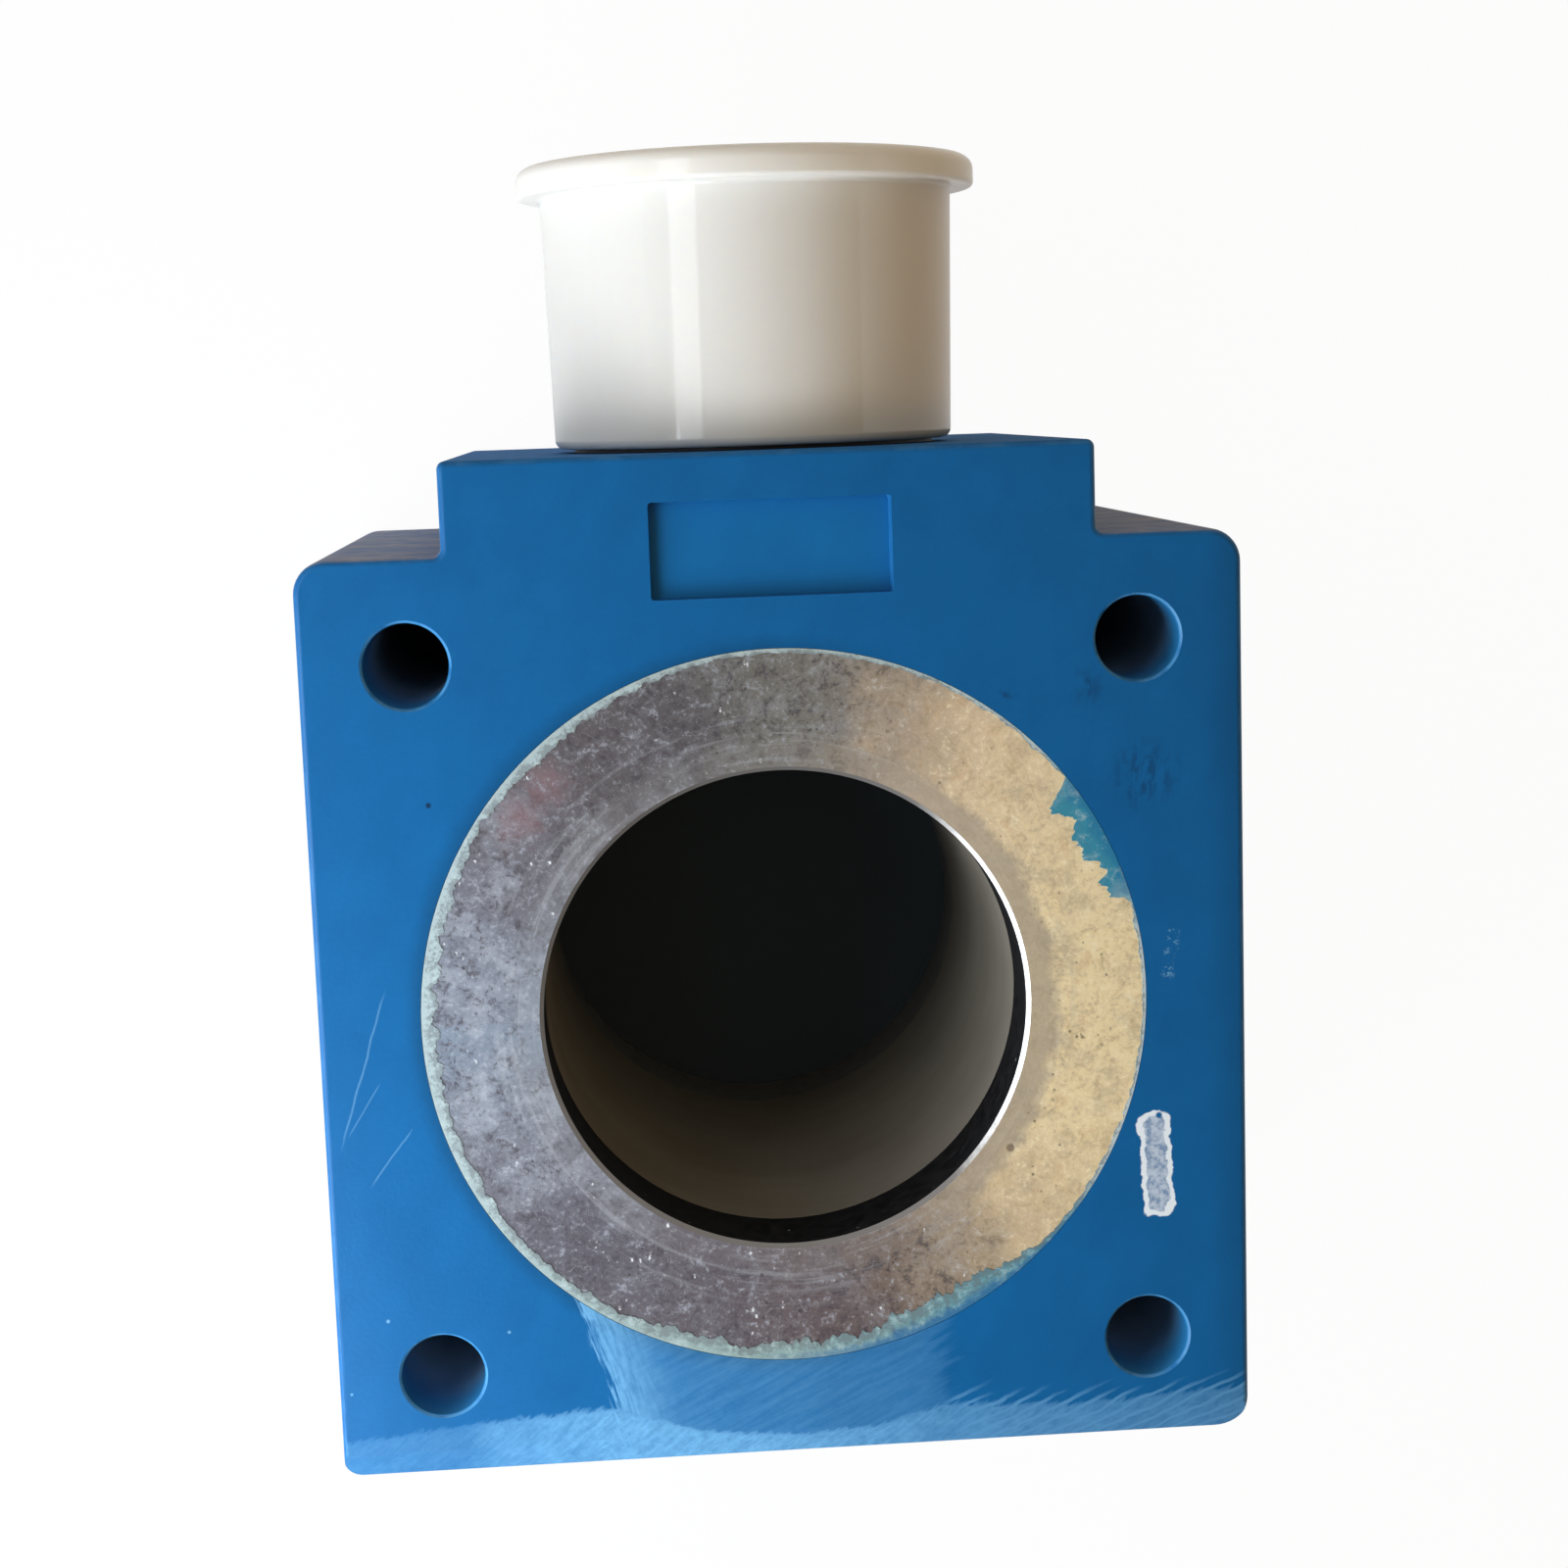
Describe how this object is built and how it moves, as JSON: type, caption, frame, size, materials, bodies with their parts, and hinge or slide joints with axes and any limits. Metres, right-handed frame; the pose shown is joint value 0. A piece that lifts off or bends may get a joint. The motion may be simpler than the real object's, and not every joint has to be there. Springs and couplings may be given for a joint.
{
  "type": "solenoid coil",
  "caption": "Square moulded solenoid coil for a hydraulic valve, with a flush steel pole ring round a through bore, corner screw holes and a dust cap over its plug terminals.",
  "frame": {"origin": "under the middle of the bounding box, on the surface that the rear face rests on; the bore axis stands at Y = -14.675 mm", "axes": "+Z along the bore, out of the mating face; +Y out of the connector boss, the way the dust cap pulls off; +X to the right of both"},
  "size_m": [0.071, 0.1004, 0.05],
  "materials": {
    "blue_plastic": "satin moulded, scuffed",
    "zinc_steel": "yellowed zinc plating, worn",
    "bare_steel": "plain",
    "brown_plastic": "smooth moulded",
    "copper": "enamelled wire",
    "amber_tape": "tape",
    "yellow_sleeving": "woven",
    "black_plastic": "moulded",
    "tinned_brass": "tinned",
    "plain_brass": "plain",
    "milky_plastic": "smooth, slightly translucent"
  },
  "bodies": {
    "coil": {"encapsulation": "blue_plastic", "front_pole_ring": "zinc_steel", "rear_pole_ring": "zinc_steel", "yoke_tube": "bare_steel", "bobbin": "brown_plastic", "winding": "copper", "winding_wrap": "amber_tape", "start_lead": "copper", "finish_lead": "copper", "start_sleeve": "yellow_sleeving", "finish_sleeve": "yellow_sleeving", "start_ferrule": "tinned_brass", "finish_ferrule": "tinned_brass", "terminal_carrier": "black_plastic", "live_blade": "tinned_brass", "neutral_blade": "tinned_brass", "earth_blade": "tinned_brass", "earth_strap": "plain_brass", "earth_rivet": "bare_steel", "screw_insert": "plain_brass"},
    "cap": {"dust_cap": "milky_plastic"}
  },
  "joints": [
    {"name": "cap_pull", "type": "slide", "parent": "coil", "child": "cap", "axis": [0, 1, 0], "range_m": [0, 0.03]}
  ]
}
